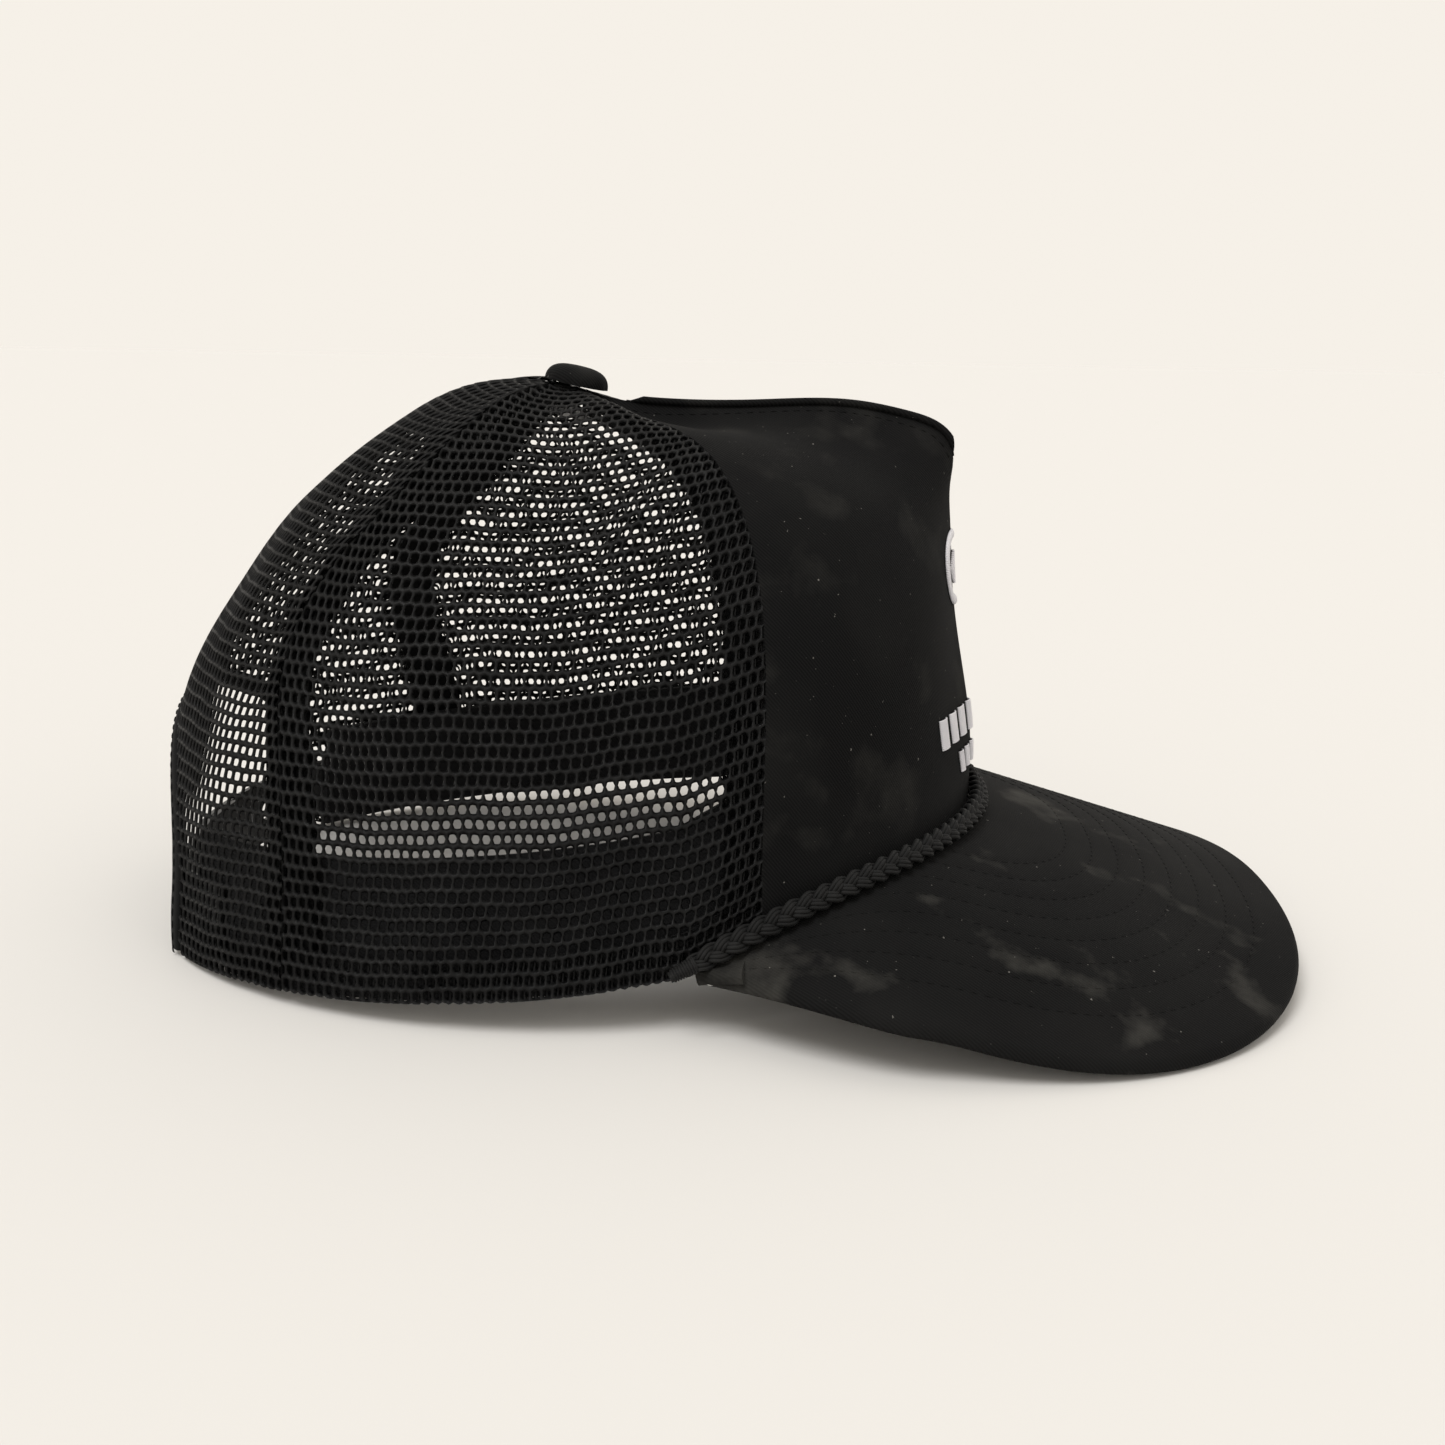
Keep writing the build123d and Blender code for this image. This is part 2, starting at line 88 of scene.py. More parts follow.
BINDING_WIDTH = 4.0
BAR_ROWS = [(52.0, 7.0, 4.6, 7, 7.0), (43.0, 5.0, 3.2, 5, 5.4)]
RING_Z, RING_RADIUS, RING_WIDTH, DIAMOND = 88.0, 9.0, 2.2, 4.2
BUTTON_RADIUS, BUTTON_DOME, BUTTON_LIFT, BUTTON_AHEAD = 7.5, 4.2, 0.5, 2.0
BUTTON_TILT = radians(12.0)

# ---- dimensions of the finish ------------------------------------------------------------
NET_PITCH, NET_ROW = 2.3, 2.95     # of the net's holes, across and up
NET_SIDE_BAR, NET_CROSS_BAR = 0.6, 1.15
NET_HEX = 0.32                      # how far the holes lean towards hexagons
NET_THICKNESS = 0.8
NET_TOP = 0.035
SEAM_BAND = 8.0                     # where the net is doubled beside a seam
STITCH_INSET, STITCH_PITCH, STITCH_ROWS = 10.5, 6.36, 8
FRONT_SEAM, FRONT_SEAM_SWING, FRONT_SEAM_POWER = 58.5, 18.0, 1.4
REAR_SEAM, REAR_SEAM_SWING = 119.5, 11.0
REAR_SWING_AT, REAR_SWING_SPREAD = 0.57, 0.2
HOLE_POWER, HOLE_SCATTER = 2.7, 0.07   # squareness of the net's holes, and how their sizes vary
FLANGE_END = 132.0                  # azimuth where the sweatband's sewn edge stops
FLANGE_FOOT, FLANGE_HEIGHT = 0.25, 8.5
FLANGE = (2.0, 2.7)
GROOVE_DEPTH, GROOVE_SPREAD = 0.13, 0.9
WRAP_RINGS, WRAP_ROUND = 30, 16     # points along and round a visor corner's wrap
ROPE_REPEAT = 12.0                  # length in which a strand comes back to its place
STRAND_SWAY, STRAND_RISE = 1.35, 0.95
YARN_OFFSETS = ((-0.72, -0.12), (0.0, 0.16), (0.72, -0.12))
YARN_HALF_WIDTH, YARN_HALF_HEIGHT = 0.52, 0.62
WELT_POINTS, WELT_SHARES = 160, (0.08, 0.53)
WELT_STITCH_OFFSET = 1.9
SATIN = 0.42                        # from one embroidery thread to the next


# ---- the crown ---------------------------------------------------------------------------
def oval(azimuth):
    a = np.radians(azimuth)
    length = np.where(np.cos(a) > 0, OVAL_FRONT, OVAL_BACK)
    return length * np.cos(a), OVAL_SIDE * np.sin(a)


def visor_drop(s, y):
    t = np.abs(y) / ARCH_REACH
    curl = ARCH_CURL * (np.maximum(0.0, -s) / CURL_REACH) ** 2 * (t + 1e-6) ** CURL_POWER
    return ARCH_REACH * (ARCH_ROUND * t**2 + ARCH_STEEP * t**4 + curl)


VISOR_ALONG = np.array([cos(VISOR_PITCH), 0, -sin(VISOR_PITCH)])
VISOR_UP = np.array([sin(VISOR_PITCH), 0, cos(VISOR_PITCH)])
VISOR_ROOT = np.array([CROWN_X + OVAL_FRONT, 0, VISOR_ROOT_Z])


def visor_point(s, y, height=0.0):
    """Points at s along the visor's slope and y across it, at a height over its middle."""
    s, y, height = np.broadcast_arrays(s, y, height)
    lift = (height - visor_drop(s, y))[..., None]
    return VISOR_ROOT + VISOR_ALONG * s[..., None] + np.array([0, 1, 0]) * y[..., None] + VISOR_UP * lift


def joint(azimuth, gap=0.0):
    """Where the visor meets the crown: s and y on the visor's surface."""
    x, y = oval(azimuth)
    grow = 1 + gap / np.hypot(x, y)
    x, y = x * grow, y * grow
    s = np.zeros_like(x)
    for _ in range(12):
        s = (x - OVAL_FRONT + visor_drop(s, y) * VISOR_UP[0]) / VISOR_ALONG[0]
    return s, y


def folded(azimuth):
    return np.abs((np.asarray(azimuth, float) + 180) % 360 - 180)


CORNER_Z = visor_point(*joint(np.array(VISOR_CORNER)))[2]


def rim_height(azimuth):
    a = folded(azimuth)
    front = visor_point(*joint(np.minimum(a, VISOR_CORNER)))[..., 2]
    share = np.clip((180 - a) / (180 - VISOR_CORNER), 0, 1)
    return np.where(a >= VISOR_CORNER, RIM_BACK + (CORNER_Z - RIM_BACK) * share**RIM_RISE, front)


def natural_spline(knots, values, at):
    """Smooth curve through values at the knots, with no bend at its two ends."""
    h = np.diff(knots)
    count = len(knots)
    matrix, right = np.eye(count), np.zeros(count)
    for i in range(1, count - 1):
        matrix[i, i - 1:i + 2] = h[i - 1], 2 * (h[i - 1] + h[i]), h[i]
        right[i] = 6 * ((values[i + 1] - values[i]) / h[i] - (values[i] - values[i - 1]) / h[i - 1])
    bend = np.linalg.solve(matrix, right)
    i = np.clip(np.searchsorted(knots, at) - 1, 0, count - 2)
    left, rest = at - knots[i], knots[i + 1] - at
    cubic = (bend[i] * rest**3 + bend[i + 1] * left**3) / (6 * h[i])
    return (cubic + (values[i] / h[i] - bend[i] * h[i] / 6) * rest
            + (values[i + 1] / h[i] - bend[i + 1] * h[i] / 6) * left)


RIDGE_KNOTS = np.concatenate([[0], np.cumsum(np.hypot(*np.diff(RIDGE_LINE, axis=0).T))])
RIDGE_KNOTS /= RIDGE_KNOTS[-1]


def by_side(azimuth, values):
    c = np.cos(np.radians(azimuth))
    front, back = np.maximum(c, 0) ** 2, np.maximum(-c, 0) ** 2
    return values[0] * front + values[2] * back + values[1] * (1 - front - back)


def plain_meridian(azimuth, g):
    n = by_side(azimuth, SQUARENESS)
    a = g * pi / 2
    sine, cosine = np.abs(np.sin(a)) + 1e-9, np.abs(np.cos(a)) + 1e-9
    k = (sine**n + cosine**n) ** (-1 / n)
    out = sine * k * (1 + by_side(azimuth, BULGE) / 90 * np.sin(pi * g**3))
    rim = rim_height(azimuth)
    x, y = oval(azimuth)
    dx, dy = (x + CROWN_X - BUTTON_X) * out, y * out
    from_button = dx**2 + dy**2
    lean = BUTTON_LEAN * dx * np.exp(-from_button / (2 * LEAN_SPREAD**2))
    forward = np.maximum(np.cos(np.radians(azimuth)), 0)
    drop = FRONT_DROP * forward**3 * (1 - np.exp(-from_button / DROP_START**2))
    return out, rim + (CROWN_HEIGHT - rim - drop) * cosine * k - lean


def meridian(azimuth, g):
    out, z = plain_meridian(azimuth, g)
    weight = np.exp(-folded(azimuth) / RIDGE_WIDTH)
    front_out, front_z = plain_meridian(np.zeros_like(g), g)
    ridge_x = natural_spline(RIDGE_KNOTS, RIDGE_LINE[:, 0], g) + CROWN_X
    ridge_z = natural_spline(RIDGE_KNOTS, RIDGE_LINE[:, 1], g)
    out = out + weight * ((ridge_x - BUTTON_X) / (CROWN_X + OVAL_FRONT - BUTTON_X) - front_out)
    x, y = oval(azimuth)
    return out * np.hypot(x + CROWN_X - BUTTON_X, y), z + weight * (ridge_z - front_z)


def crown(azimuth, g, depth=0.0):
    """Points of the crown at azimuths, fractions down it and depths under its surface."""
    azimuth, g, depth = [np.array(a, float) for a in np.broadcast_arrays(azimuth, g, depth)]
    step = 0.004
    r0, z0 = meridian(azimuth, np.maximum(g - step, 0))
    r1, z1 = meridian(azimuth, np.minimum(g + step, 1))
    size = np.hypot(r1 - r0, z1 - z0) + 1e-12
    r, z = meridian(azimuth, g)
    r, z = r + depth * (z1 - z0) / size, z - depth * (r1 - r0) / size
    x, y = oval(azimuth)
    x = x + CROWN_X - BUTTON_X
    reach = np.hypot(x, y)
    return np.stack([BUTTON_X + r * x / reach, r * y / reach, z], -1)


def fraction_at(azimuth, above_rim):
    azimuth, above_rim = np.broadcast_arrays(np.asarray(azimuth, float), above_rim)
    low, high = np.full(azimuth.shape, 0.3), np.full(azimuth.shape, 1.0)
    for _ in range(22):
        middle = (low + high) / 2
        over = meridian(azimuth, middle)[1] - rim_height(azimuth) > above_rim
        low, high = np.where(over, middle, low), np.where(over, high, middle)
    return high


def front_seam(g):
    return FRONT_SEAM - FRONT_SEAM_SWING * np.clip(1 - g, 0, 1) ** FRONT_SEAM_POWER


def rear_seam(g):
    return REAR_SEAM + REAR_SEAM_SWING * np.exp(-((g - REAR_SWING_AT) / REAR_SWING_SPREAD) ** 2)


# ---- mesh helpers --------------------------------------------------------------------------
class Shape:
    """Points and faces gathered for one piece, in millimetres."""

    def __init__(self):
        self.points, self.faces, self.count = [], [], 0

    def add(self, points, faces):
        points = np.asarray(points, float).reshape(-1, 3)
        self.points.append(points)
        self.faces += [[i + self.count for i in face] for face in np.asarray(faces).tolist()]
        self.count += len(points)

    def make(self, name, material, slot, replaces=(), crease=40.0):
        mesh = bpy.data.meshes.new(name)
        mesh.from_pydata((np.concatenate(self.points) * MM).tolist(), [], self.faces)
        work = bmesh.new()
        work.from_mesh(mesh)
        bmesh.ops.recalc_face_normals(work, faces=work.faces)
        for face in work.faces:
            face.smooth = True
        if crease:
            for edge in work.edges:
                edge.smooth = edge.calc_face_angle(0) < radians(crease)
        work.to_mesh(mesh)
        work.free()
        piece = bpy.data.objects.new(name, mesh)
        bpy.context.scene.collection.objects.link(piece)
        mesh.materials.append(material)
        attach(piece, "root")
        if replaces:
            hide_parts(*replaces)
        return piece


def shell(shape, surface, us, vs, outer, inner):
    """A closed layer of cloth between two depths of a surface(u, v, depth)."""
    u, v = np.meshgrid(us, vs, indexing="ij")
    index = np.arange(u.size).reshape(u.shape)
    quads = np.stack([index[:-1, :-1], index[1:, :-1], index[1:, 1:], index[:-1, 1:]], -1).reshape(-1, 4)
    edge = np.concatenate([index[:, 0], index[-1, 1:], index[-2::-1, -1], index[0, -2:0:-1]])
    following = np.roll(edge, -1)
    walls = np.stack([edge, following, following + u.size, edge + u.size], -1)
    points = np.concatenate([surface(u, v, outer).reshape(-1, 3), surface(u, v, inner).reshape(-1, 3)])
    shape.add(points, np.concatenate([quads, quads[:, ::-1] + u.size, walls]))


def unit(vectors):
    return vectors / (np.linalg.norm(vectors, axis=-1, keepdims=True) + 1e-12)


def sweep(shape, path, normals, profile, taper=None):
    """A closed bar along a path. Its profile is listed as (across, outwards)."""
    path = np.asarray(path, float)
    along = unit(np.gradient(path, axis=0))
    across = unit(np.cross(along, normals))
    upward = np.cross(across, along)
    profile = np.asarray(profile, float)
    scale = np.ones(len(path)) if taper is None else np.asarray(taper)
    rings = (path[:, None] + across[:, None] * (profile[None, :, :1] * scale[:, None, None])
             + upward[:, None] * (profile[None, :, 1:] * scale[:, None, None]))
    count, around = rings.shape[:2]
    index = np.arange(count * around).reshape(count, around)
    turned = np.roll(index, -1, axis=1)
    quads = np.stack([index[:-1], turned[:-1], turned[1:], index[1:]], -1).reshape(-1, 4)
    shape.add(rings, quads)
    start = shape.count - count * around
    shape.faces += [[start + i for i in index[0][::-1]], [start + i for i in index[-1]]]


def rounded(half_width, half_height, count=12, power=2.0):
    """Round or squarish profile."""
    a = np.arange(count) / count * 2 * pi
    k = (np.abs(np.cos(a)) ** power + np.abs(np.sin(a)) ** power) ** (-1 / power)
    return np.stack([half_width * np.cos(a) * k, half_height * np.sin(a) * k], -1)


def even(path, normals, step):
    """The same path with points at even steps."""
    reach = np.concatenate([[0], np.cumsum(np.linalg.norm(np.diff(path, axis=0), axis=1))])
    at = np.linspace(0, reach[-1], max(2, int(round(reach[-1] / step)) + 1))
    pick = lambda values: np.stack([np.interp(at, reach, values[:, i]) for i in range(3)], -1)
    return pick(path), unit(pick(normals))


def stitches(shape, path, normals, length=2.2, pitch=3.0, width=0.42, proud=0.1):
    """A row of single stitches along a path."""
    middles, ups = even(np.asarray(path, float), np.asarray(normals, float), pitch)
    along = unit(np.gradient(middles, axis=0))
    shares = np.array([-0.5, -0.32, 0.0, 0.32, 0.5])
    lifts = np.array([-0.25, 0.0, 0.06, 0.0, -0.25])
    for middle, up, forward in zip(middles, ups, along):
        line = middle + forward * (shares * length)[:, None] + up * (lifts + proud)[:, None]
        sweep(shape, line, np.tile(up, (len(shares), 1)), rounded(width / 2, width / 2, 6),
              taper=(0.45, 0.95, 1.0, 0.95, 0.45))


# ---- materials -------------------------------------------------------------------------------
class Finish:
    """A node material with short names for what it is made of."""

    def __init__(self, name, roughness, sheen=0.0, specular=0.5, metallic=0.0):
        self.material = bpy.data.materials.new(name)
        self.material.use_nodes = True
        self.nodes, self.links = self.material.node_tree.nodes, self.material.node_tree.links
        self.shader = self.nodes["Principled BSDF"]
        self.shader.inputs["Roughness"].default_value = roughness
        self.shader.inputs["Sheen Weight"].default_value = sheen
        self.shader.inputs["Sheen Roughness"].default_value = 0.5
        self.shader.inputs["Specular IOR Level"].default_value = specular
        self.shader.inputs["Metallic"].default_value = metallic
        self.place = self.nodes.new("ShaderNodeTexCoord").outputs["Object"]

    def noise(self, scale, detail=3.0, low=0.4, high=0.6):
        """Cloudy pattern, stretched between two limits."""
        texture = self.nodes.new("ShaderNodeTexNoise")
        texture.inputs["Scale"].default_value = scale
        texture.inputs["Detail"].default_value = detail
        self.links.new(self.place, texture.inputs["Vector"])
        return self.spread(texture.outputs["Fac"], low, high)

    def waves(self, pitch, distortion=0.0, direction="DIAGONAL"):
        """Ribs a pitch apart, in millimetres, measured square to them on a flat face."""
        texture = self.nodes.new("ShaderNodeTexWave")
        texture.bands_direction = direction
        slant = 2**0.5 if direction == "DIAGONAL" else 1.0
        texture.inputs["Scale"].default_value = 2 * pi / (10 * pitch * MM * slant)
        texture.inputs["Distortion"].default_value = distortion
        self.links.new(self.place, texture.inputs["Vector"])
        return texture.outputs["Fac"]

    def spread(self, value, low, high, to_low=0.0, to_high=1.0):
        node = self.nodes.new("ShaderNodeMapRange")
        for name, number in (("From Min", low), ("From Max", high), ("To Min", to_low), ("To Max", to_high)):
            node.inputs[name].default_value = number
        self.links.new(value, node.inputs["Value"])
        return node.outputs["Result"]

    def mix(self, factor, one, other):
        node = self.nodes.new("ShaderNodeMix")
        node.data_type = "RGBA"
        self.links.new(factor, node.inputs[0])
        for socket, colour in ((node.inputs[6], one), (node.inputs[7], other)):
            if isinstance(colour, tuple):
                socket.default_value = (*colour, 1)
            else:
                self.links.new(colour, socket)
        return node.outputs[2]

    def product(self, one, other):
        node = self.nodes.new("ShaderNodeMath")
        node.operation = "MULTIPLY"
        self.links.new(one, node.inputs[0])
        if isinstance(other, float):
            node.inputs[1].default_value = other
        else:
            self.links.new(other, node.inputs[1])
        return node.outputs[0]

    def bump(self, height, distance, strength=0.5):
        node = self.nodes.new("ShaderNodeBump")
        node.inputs["Distance"].default_value = distance * MM
        node.inputs["Strength"].default_value = strength
        self.links.new(height, node.inputs["Height"])
        if self.shader.inputs["Normal"].is_linked:
            self.links.new(self.shader.inputs["Normal"].links[0].from_socket, node.inputs["Normal"])
        self.links.new(node.outputs["Normal"], self.shader.inputs["Normal"])

    def colour(self, value):
        self.links.new(value, self.shader.inputs["Base Color"])

    def rough(self, value):
        self.links.new(value, self.shader.inputs["Roughness"])


def twill(name, dust, pitch=0.75):
    """Black cotton twill: a diagonal rib, worn paler in clouds, with lint and dust."""
    f = Finish(name, 0.85, sheen=0.01, specular=0.07)
    ribs = f.waves(pitch, 0.6)
    cloth = f.mix(ribs, (0.002, 0.002, 0.0022), (0.0055, 0.0055, 0.0056))
    worn = f.mix(f.product(f.noise(28, 4, 0.45, 0.8), 0.5), cloth, (0.012, 0.0118, 0.0112))
    dusty = f.mix(f.product(f.noise(45, 6, 0.56, 0.78), dust), worn, (0.14, 0.135, 0.12))
    f.colour(f.mix(f.product(f.noise(900, 2, 0.74, 0.8), 0.5), dusty, (0.25, 0.24, 0.22)))
    f.bump(ribs, 0.12, 0.5)
    f.bump(f.noise(2200, 2, 0.2, 0.8), 0.06, 0.35)
    return f.material


def nylon(name):
    """Black net yarn, slightly glossy, with fine filaments."""
    f = Finish(name, 0.33, sheen=0.0, specular=0.14)
    f.colour(f.mix(f.noise(150, 3, 0.35, 0.7), (0.002, 0.002, 0.0022), (0.006, 0.006, 0.0062)))
    f.rough(f.spread(f.noise(300, 3, 0.3, 0.7), 0, 1, 0.3, 0.55))
    f.bump(f.waves(0.16, 2.0), 0.05, 0.5)
    return f.material


def woven(name, dark, light, pitch=0.5, roughness=0.8, sheen=0.03):
    """Plain weave: two crossing sets of ribs."""
    f = Finish(name, roughness, sheen=sheen, specular=0.07)
    weave = f.product(f.waves(pitch, 0.4, "Z"), f.waves(pitch, 0.4, "DIAGONAL"))
    f.colour(f.mix(f.product(f.noise(60, 4, 0.3, 0.75), 0.7), f.mix(weave, dark, light), light))
    f.bump(weave, 0.1, 0.5)
    return f.material


def yarn(name, dark, light, roughness=0.6, pitch=0.22):
    """Spun or filament yarn, with fine fibres."""
    f = Finish(name, roughness, sheen=0.02, specular=0.16)
    fibres = f.waves(pitch, 3.0)
    f.colour(f.mix(f.product(fibres, f.noise(120, 3, 0.2, 0.8)), dark, light))
    f.bump(fibres, 0.06, 0.6)
    return f.material


def moulded(name, colour, worn, roughness):
    """Moulded plastic with a fine grain and rubbed patches."""
    f = Finish(name, roughness, specular=0.5)
    f.colour(f.mix(f.noise(90, 4, 0.4, 0.8), colour, worn))
    f.rough(f.spread(f.noise(200, 4, 0.2, 0.8), 0, 1, roughness - 0.08, roughness + 0.12))
    f.bump(f.noise(3500, 2, 0.3, 0.7), 0.03, 0.3)
    return f.material


def tinned(name):
    f = Finish(name, 0.35, metallic=1.0)
    f.colour(f.mix(f.noise(250, 4, 0.3, 0.8), (0.62, 0.62, 0.63), (0.38, 0.37, 0.36)))
    f.rough(f.spread(f.noise(500, 4, 0.2, 0.8), 0, 1, 0.25, 0.5))
    return f.material


FRONT_TWILL = twill("front_twill", 0.10)
VISOR_TWILL = twill("visor_twill", 0.34)
NET = nylon("net_nylon")
TAPE = woven("woven_tape", (0.003, 0.003, 0.0032), (0.009, 0.009, 0.0092))
BUCKRAM = woven("buckram", (0.012, 0.012, 0.013), (0.03, 0.03, 0.03), pitch=0.9)
BRUSHED = woven("brushed_cotton", (0.007, 0.007, 0.0075), (0.02, 0.02, 0.021), pitch=0.6, sheen=0.05)
CORD = yarn("rope_yarn", (0.003, 0.003, 0.0032), (0.016, 0.016, 0.0155))
SEWING = yarn("sewing_thread", (0.008, 0.008, 0.009), (0.024, 0.024, 0.025), 0.5)
WHITE = yarn("white_thread", (0.62, 0.61, 0.64), (0.86, 0.85, 0.88), 0.45)

for nodes, finish in ((("strap_holes", "strap_pegs", "strap_root_right", "strap_root_left"),
                       moulded("strap_plastic", (0.012, 0.012, 0.013), (0.028, 0.028, 0.029), 0.42)),
                      (("visor_board",), moulded("board_plastic", (0.7, 0.7, 0.67), (0.62, 0.61, 0.57), 0.5)),
                      (("button_shell", "button_prong", "button_washer"), tinned("tinned_steel"))):
    for node in nodes:
        frame["nodes"][node].data.materials.clear()
        frame["nodes"][node].data.materials.append(finish)


# ---- front panel and backing -------------------------------------------------------------------
def between_seams(u, v, depth):
    return crown((2 * u - 1) * front_seam(v), v, depth)


across_front = np.linspace(0, 1, 121)
down_front = np.linspace(NET_TOP, 1, 90)
for name, material, slot, (outer, inner) in (("front_panel_cloth", FRONT_TWILL, "twill", (0, CLOTH)),
                                             ("front_buckram", BUCKRAM, "backing", BACKING)):
    panel = Shape()
    shell(panel, between_seams, across_front, down_front, outer, inner)
    panel.make(name, material, slot, ["front_panel" if slot == "twill" else "front_backing"])

crown_azimuths, crown_fractions = np.meshgrid(np.linspace(0, 360, 181), np.linspace(0.02, 1, 90),
                                              indexing="ij")
crown_points = crown(crown_azimuths, crown_fractions)
crown_index = np.arange(crown_azimuths.size).reshape(crown_azimuths.shape)
crown_quads = np.stack([crown_index[:-1, :-1], crown_index[1:, :-1],
                        crown_index[1:, 1:], crown_index[:-1, 1:]], -1)
CROWN_TREE = BVHTree.FromPolygons(crown_points.reshape(-1, 3).tolist(),
                                  crown_quads.reshape(-1, 4).tolist())


def on_crown(points, direction):
    """Points pushed along X onto the crown, with its outward normals."""
    places, normals = [], []
    for y, z in points:
        hit, normal, _, _ = CROWN_TREE.ray_cast(Vector((-300 * direction, y, z)), Vector((direction, 0, 0)))
        if hit is None:
            continue
        places.append(hit)
        normals.append(normal if normal.x * direction < 0 else -normal)
    return np.array(places), np.array(normals)


# ---- net -----------------------------------------------------------------------------------------
def slack(u, v, phase):
    """Slow waves of loose net, outwards."""
    return (0.8 * np.sin(u / 9 + v / 21 + phase) * np.sin(v / 13 - phase)
            + 0.4 * np.sin(u / 4.6 - v / 17 + 2 * phase))


CELL = np.array([(2, 0), (2, 1), (1, 1), (0, 1), (-1, 1), (-2, 1),
                 (-2, 0), (-2, -1), (-1, -1), (0, -1), (1, -1), (2, -1)])


def net(shape, low, high, keep, phase=0.0, depth=0.0, shift=0):
    """Knitted net between two seams: staggered holes, whose rows follow the band.
    low and high give the seams' azimuths from a fraction. keep picks cells by their place."""
    fractions = np.linspace(NET_TOP, 1, 150)
    shares = np.linspace(0, 1, 61)
    azimuths = low(fractions)[:, None] + (high(fractions) - low(fractions))[:, None] * shares
    table = crown(azimuths, fractions[:, None])
    reach = np.cumsum(np.linalg.norm(np.diff(table, axis=1), axis=2), axis=1)
    reach = np.concatenate([np.zeros((len(fractions), 1)), reach], axis=1)
    widths = reach[:, -1]
    middle = table[:, len(shares) // 2]
    heights = np.concatenate([[0], np.cumsum(np.linalg.norm(np.diff(middle[::-1], axis=0), axis=1))])[::-1]
    half_pitch, half_row = NET_PITCH / 2, NET_ROW / 2
    cells = []
    for row in range(int(heights[0] / NET_ROW) + 1):
        v = (row + 0.5) * NET_ROW
        width = np.interp(v, heights[::-1], widths[::-1])
        g = np.interp(v, heights[::-1], fractions[::-1])
        for column in range(-ceil(width / 2 / NET_PITCH) - 1, ceil(width / 2 / NET_PITCH) + 2):
            u = (2 * column + (row + shift) % 2) * half_pitch
            if abs(u) < width / 2 + half_pitch * 0.4 and keep(u, v, width, g):
                cells.append((4 * column + 2 * ((row + shift) % 2), 2 * row))
    cells = np.array(cells)
    keys = cells[:, None] + CELL
    corners, shared = np.unique(keys.reshape(-1, 2), axis=0, return_inverse=True)
    shared = shared.reshape(len(cells), 12)
    # a corner between two cells of one row sinks, and the middle of a cell's edge rises
    owner_even = (corners[:, 1] - 1) // 2
    phase_x = (corners[:, 0] - 2 * ((owner_even + shift) % 2)) % 4
    lean = np.where(phase_x == 0, 1.0, np.where(phase_x == 2, -1.0, 0.0))
    lean = np.where(corners[:, 1] % 2 == 0, 0.0, lean)
    outer_u = corners[:, 0] * half_pitch / 2
    outer_v = (corners[:, 1] + 1) * half_row + lean * NET_HEX
    angles = np.arctan2(CELL[:, 1] * half_row, CELL[:, 0] * half_pitch / 2)
    k = (np.abs(np.cos(angles)) ** HOLE_POWER + np.abs(np.sin(angles)) ** HOLE_POWER) ** (-1 / HOLE_POWER)
    hole_u = (half_pitch - NET_SIDE_BAR / 2) * np.cos(angles) * k
    hole_v = (half_row - NET_CROSS_BAR / 2) * np.sin(angles) * k
    centre_u, centre_v = cells[:, 0] * half_pitch / 2, (cells[:, 1] + 1) * half_row
    size = 1 + HOLE_SCATTER * RANDOM.standard_normal(len(cells))
    inner_u = (centre_u[:, None] + hole_u * size[:, None]).ravel()
    inner_v = (centre_v[:, None] + hole_v * size[:, None]).ravel()
    u, v = np.concatenate([outer_u, inner_u]), np.concatenate([outer_v, inner_v])
    out = slack(u, v, phase)
    u = u + 0.16 * np.sin(v / 5.1 + phase) + 0.1 * np.sin(u / 3.3 + v / 2.2)
    v = v + 0.28 * np.sin(u / 6.3 + phase) + 0.12 * np.sin(u / 2.1 + v / 4)
    v = np.clip(v, 0.05, heights[0] - 0.05)
    g = np.interp(v, heights[::-1], fractions[::-1])
    place = np.interp(g, fractions, np.arange(len(fractions)))
    before = np.clip(place.astype(int), 0, len(fractions) - 2)
    part = place - before
    share = np.empty(len(u))
    for line in range(len(fractions) - 1):
        here = before == line
        if here.any():
            ends = [np.interp(u[here] + widths[i] / 2, reach[i], shares) for i in (line, line + 1)]
            share[here] = ends[0] * (1 - part[here]) + ends[1] * part[here]
    azimuth = low(g) + (high(g) - low(g)) * share
    near_edge = np.minimum(np.minimum(share, 1 - share) * 8, 1)
    out = out * near_edge * np.clip(v / 12, 0, 1)
    count, total = len(corners), len(u)
    crest = crown(azimuth[:count], g[:count], depth - out[:count])
    hole = crown(azimuth[count:], g[count:], depth + NET_THICKNESS / 2 - out[count:])
    foot = crown(azimuth[:count], g[:count], depth + NET_THICKNESS - out[:count])
    points = np.concatenate([crest, hole, foot])
    inner = count + np.arange(len(cells) * 12).reshape(-1, 12)
    following = np.roll(np.arange(12), -1)
    upper = np.stack([shared, shared[:, following], inner[:, following], inner], -1).reshape(-1, 4)
    lower = np.stack([inner, inner[:, following], total + shared[:, following], total + shared], -1)
    lower = lower.reshape(-1, 4)
    faces = np.concatenate([upper, lower])
    diagonals = points[faces[:, 2]] - points[faces[:, 0]], points[faces[:, 3]] - points[faces[:, 1]]
    area = np.linalg.norm(np.cross(*diagonals), axis=1)
    shape.add(points, faces[area > 1e-3])


def opening_half_width(z, grow=0.0):
    """Half width of the rear opening at a height."""
    share = np.clip((z - OPENING_STRAIGHT) / (OPENING_HEIGHT + grow - OPENING_STRAIGHT), 0, 1)
    return np.where(z > OPENING_HEIGHT + grow, -1.0, (OPENING_HALF_WIDTH + grow) * np.sqrt(1 - share**2))


